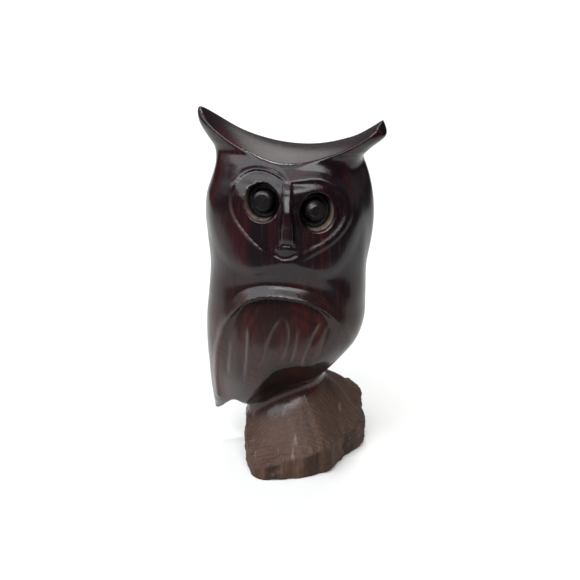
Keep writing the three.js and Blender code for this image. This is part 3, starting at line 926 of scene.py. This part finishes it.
def rosewood_material():
    """Oiled dark rosewood on the owl and raw sawn rosewood on the stump, in one block's grain."""
    material = bpy.data.materials.new("rosewood")
    nodes = Nodes(material)
    grain = wood_grain(nodes)
    raw = nodes.attribute("raw")
    wall = nodes.attribute("lit_raw_socket_wall")
    colour = nodes.mix(raw, oiled_colour(nodes, grain), sawn_colour(nodes, grain))
    # Raw wood only on the sockets' lit lower outer walls is painted light. The near-black colour in their
    # depths is painted shade.
    lit_bare_wood = nodes.mix(nodes.spread(grain["fibres"], 0.35, 0.65), SOCKET_WOOD["dark"], SOCKET_WOOD["pale"])
    colour = nodes.mix(wall, colour, lit_bare_wood)
    colour = nodes.mix(nodes.attribute("socket_depth_shade"), colour, SOCKET_WOOD["deep"])

    roughness = nodes.blend(nodes.spread(grain["fibres"], 0.3, 0.8), 0.17, 0.27)
    for share, extra in ((raw, 0.42), (nodes.attribute("groove"), 0.12), (wall, 0.35)):
        roughness = nodes.math("ADD", roughness, nodes.math("MULTIPLY", share, extra), clamp=True)

    oiled_height = nodes.math("MULTIPLY", grain["fibres"], 0.12)
    raw_height = nodes.math("ADD", grain["fibres"], nodes.math("MULTIPLY", grain["ring_wave"], 0.18))
    raw_height = nodes.math("MULTIPLY", raw_height, nodes.math("ADD", raw, 0.02))
    nodes.finish(colour, roughness, nodes.math("ADD", oiled_height, raw_height), GRAIN_DEPTH, OIL_IOR)
    return material


def ebony_material():
    """The pegs' dark end grain, polished."""
    material = bpy.data.materials.new("ebony")
    nodes = Nodes(material)
    specks = nodes.noise(nodes.place((1, 0.15, 1)), 2400.0, 2.0, 0.5)
    clouds = nodes.noise(nodes.place((1, 1, 1)), 300.0, 3.0, 0.5)
    colour = nodes.mix(nodes.spread(clouds, 0.4, 0.7), EBONY["dark"], EBONY["pale"])
    colour = nodes.layer(colour, nodes.spread(specks, 0.6, 0.8), 0.4, EBONY["speck"])
    nodes.finish(colour, nodes.blend(specks, 0.22, 0.34), specks, EBONY_DEPTH)
    return material


def sweep_material():
    """The pale sweep that the camera sees."""
    material = bpy.data.materials.new("pale_sweep")
    nodes = Nodes(material)
    fleck = nodes.noise(nodes.place((1, 1, 1)), 400.0, 2.0, 0.5)
    colour = nodes.mix(fleck, SWEEP["dark"], SWEEP["pale"])
    nodes.finish(colour, nodes.blend(fleck, 0.55, 0.65), fleck, FLECK_DEPTH)
    return material


def table_material():
    """What the wood reflects: white paper on a dark table, and a pale wall high up behind."""
    material = bpy.data.materials.new("paper_on_dark_table")
    nodes = Nodes(material)
    x, y, z = (nodes.split(nodes.object_place(), axis) for axis in "XYZ")
    from_middle = nodes.math("ABSOLUTE", x)
    past_owl = nodes.math("MAXIMUM", nodes.math("SUBTRACT", from_middle, PAPER["slant_from"]), 0.0)
    from_front = nodes.math("SUBTRACT", y, nodes.math("MULTIPLY", past_owl, PAPER["slant"]))
    on_paper = nodes.math("MAXIMUM", nodes.spread(y, *PAPER["back"]), nodes.spread(z, *PAPER["wall"]))
    on_paper = nodes.math("MULTIPLY", on_paper, nodes.spread(from_middle, *PAPER["side"]))
    on_paper = nodes.math("MULTIPLY", on_paper, nodes.spread(from_front, *PAPER["front"]))
    colour = nodes.mix(on_paper, TABLE["dark"], TABLE["paper"])
    nodes.finish(colour, nodes.blend(on_paper, 0.7, 0.6), on_paper, FLECK_DEPTH)
    return material


# ---- Floor, lights and camera ----

def add_sweep(name, material):
    """A floor that curves up far behind the figurine."""
    front, back, bend, top, half_width = -1.6, 0.9, 0.5, 1.8, 2.2
    steps = 12
    profile = [(front, 0.0), (back, 0.0)]
    for i in range(1, steps + 1):
        angle = math.radians(90 * i / steps)
        profile.append((back + bend * math.sin(angle), bend * (1 - math.cos(angle))))
    profile.append((back + bend, top))
    points = [(x, y, z) for y, z in profile for x in (-half_width, half_width)]
    faces = [(2 * i, 2 * i + 1, 2 * i + 3, 2 * i + 2) for i in range(len(profile) - 1)]
    sweep = mesh_object(name, np.array(points), faces, material)
    return sweep


def add_stage():
    """The camera sees one sweep. The wood reflects the other, which lies just under it."""
    seen = add_sweep("pale_sweep", sweep_material())
    seen.visible_glossy = False
    seen.visible_diffuse = False
    seen.visible_shadow = False
    reflected = add_sweep("reflected_table", table_material())
    reflected.visible_camera = False
    just_under = 0.0002
    reflected.location.z = -just_under


def add_area_light(name, position, target, size, power, colour=(1, 1, 1)):
    light = bpy.data.lights.new(name, "AREA")
    light.shape = "RECTANGLE"
    light.size, light.size_y = size
    light.energy = power
    light.color = colour
    lamp = bpy.data.objects.new(name, light)
    lamp.location = position
    lamp.rotation_euler = (Vector(target) - Vector(position)).to_track_quat("-Z", "Y").to_euler()
    bpy.context.collection.objects.link(lamp)


def add_lights():
    """Soft panels in front, above and at the sides, and a light on the backdrop."""
    middle = (0, 0, 0.07)
    add_area_light("key_softbox", (-0.07, -0.81, 0.95), middle, (1.0, 0.7), 14.5)
    add_area_light("left_panel", (-0.82, -0.44, 0.91), middle, (1.1, 1.0), 12.5, (0.90, 0.96, 1.0))
    add_area_light("overhead_softbox", (-0.12, -0.25, 1.27), middle, (0.8, 0.5), 2.5)
    add_area_light("side_window", (-1.15, 0.15, 0.55), middle, (0.5, 0.7), 0.7, (0.85, 0.94, 1.0))
    add_area_light("backdrop_light", (0, 0.60, 1.60), (0, 1.40, 0.85), (0.5, 0.3), 29.0)


def add_room():
    """A dim room that is paler behind the figurine. The camera sees it white."""
    world = bpy.data.worlds.new("studio")
    bpy.context.scene.world = world
    nodes = Nodes(world)
    behind = nodes.split(nodes.add("ShaderNodeTexCoord").outputs["Generated"], "Y")
    dim = nodes.blend(nodes.spread(behind, -0.60, 0.80), 0.04, 0.30)
    seen = nodes.add("ShaderNodeLightPath").outputs["Is Camera Ray"]
    strength = nodes.math("MAXIMUM", dim, seen)
    background = nodes.add("ShaderNodeBackground", {"Color": (1, 1, 1, 1), "Strength": strength})
    nodes.add("ShaderNodeOutputWorld", {"Surface": background.outputs[0]})


def add_camera():
    """Straight ahead of the owl, looking down at it."""
    elevation, distance, view_width = math.radians(22), 600.0, 232.0
    sensor = 36.0
    target = np.array([-0.8, 0.0, 71.9])
    backwards = np.array([0, -math.cos(elevation), math.sin(elevation)])
    camera = bpy.data.cameras.new("camera")
    camera.sensor_width = sensor
    camera.lens = sensor * distance / view_width
    camera.clip_start = 0.01
    eye = bpy.data.objects.new("camera", camera)
    eye.location = to_frame(target + backwards * distance)
    eye.rotation_euler = (math.pi / 2 - elevation, 0, 0)
    bpy.context.collection.objects.link(eye)
    bpy.context.scene.camera = eye


# ---- The scene ----

bpy.context.scene.view_settings.view_transform = "Standard"
add_camera()
add_stage()
add_lights()
add_room()

block = carve_block(rosewood_material())
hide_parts("carved_block")
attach(block, "root")

ebony = ebony_material()
for side, eye in EYES.items():
    peg = turn_peg(f"{side}_pupil_peg", eye, ebony)
    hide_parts(f"{side}_eye_peg")
    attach(peg, "root")
